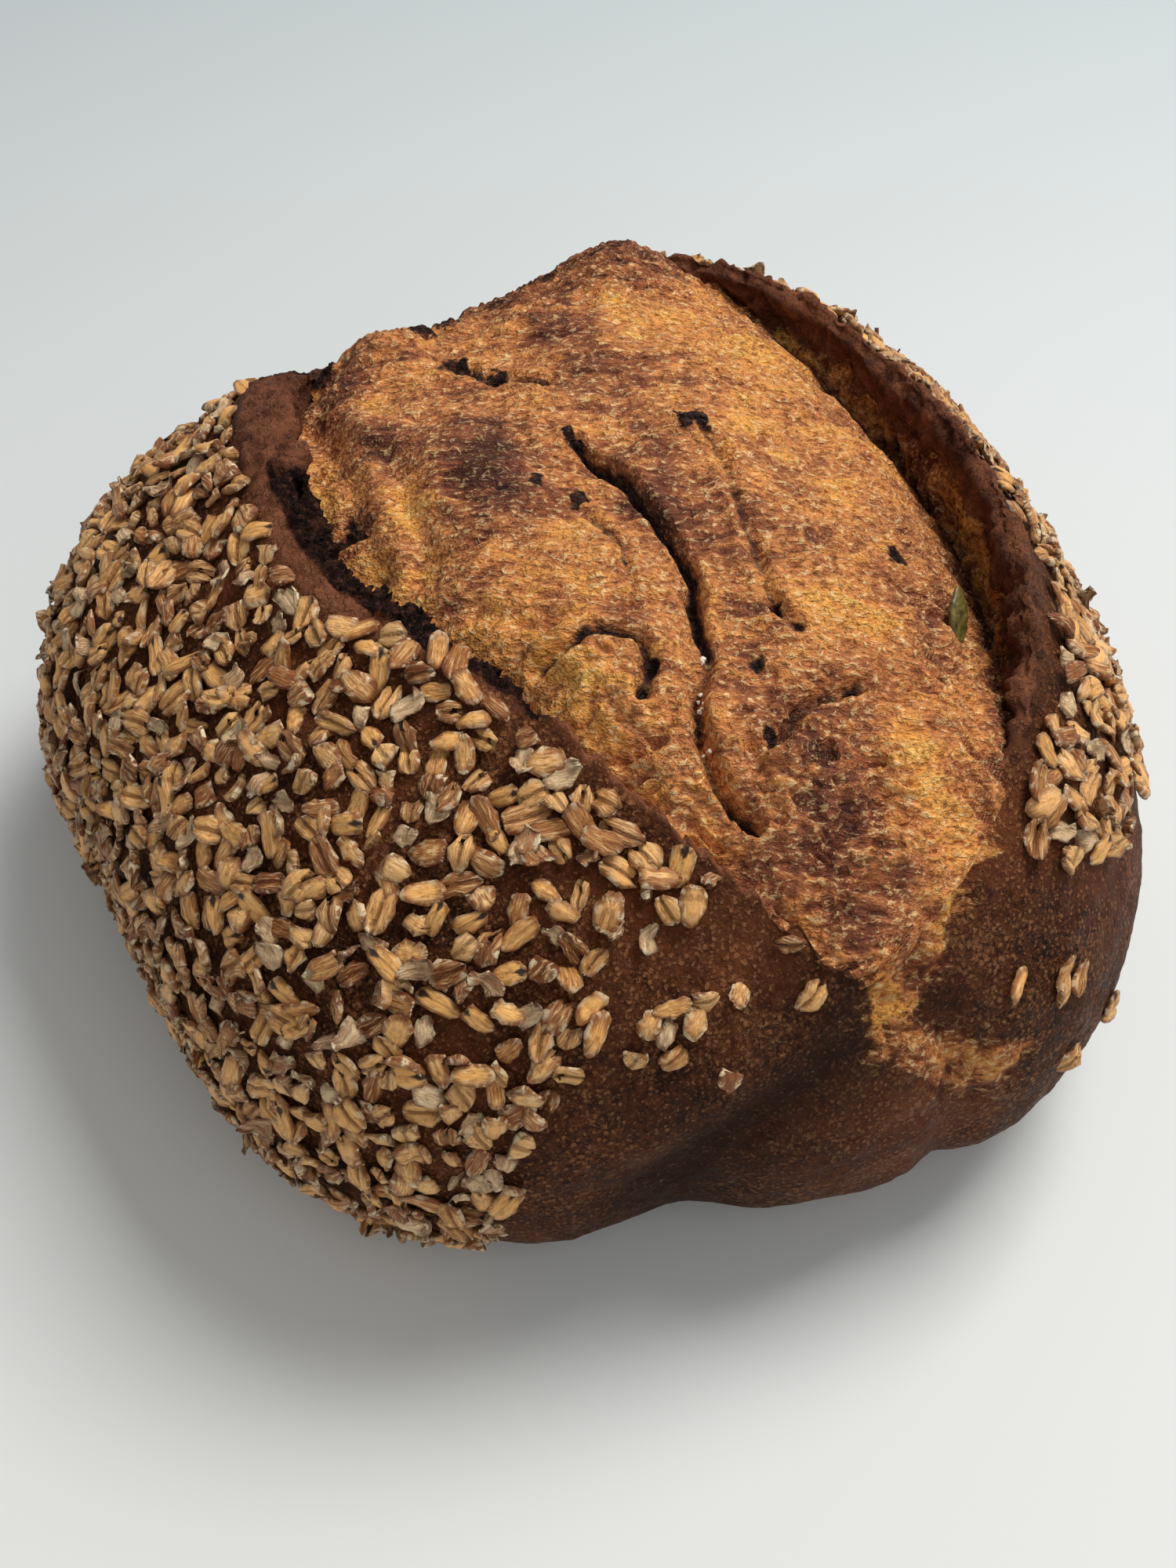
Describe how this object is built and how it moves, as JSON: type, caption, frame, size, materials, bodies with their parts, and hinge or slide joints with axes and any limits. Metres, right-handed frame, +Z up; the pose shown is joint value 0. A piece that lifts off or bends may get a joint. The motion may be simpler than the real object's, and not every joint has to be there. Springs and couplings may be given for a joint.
{
  "type": "sourdough loaf",
  "caption": "Round sourdough loaf rolled in oat flakes, with one long slash burst wide open along its top and a flat base.",
  "frame": {"origin": "centre of the loaf's box, on the surface it stands on", "axes": "+X along the slash towards the bare front end, +Z up"},
  "size_m": [0.2217, 0.2128, 0.1112],
  "materials": {
    "baked_crust": "matte baked crust with straw-coloured oat flakes"
  },
  "bodies": {
    "root": {"oat_loaf": "baked_crust"}
  },
  "joints": []
}
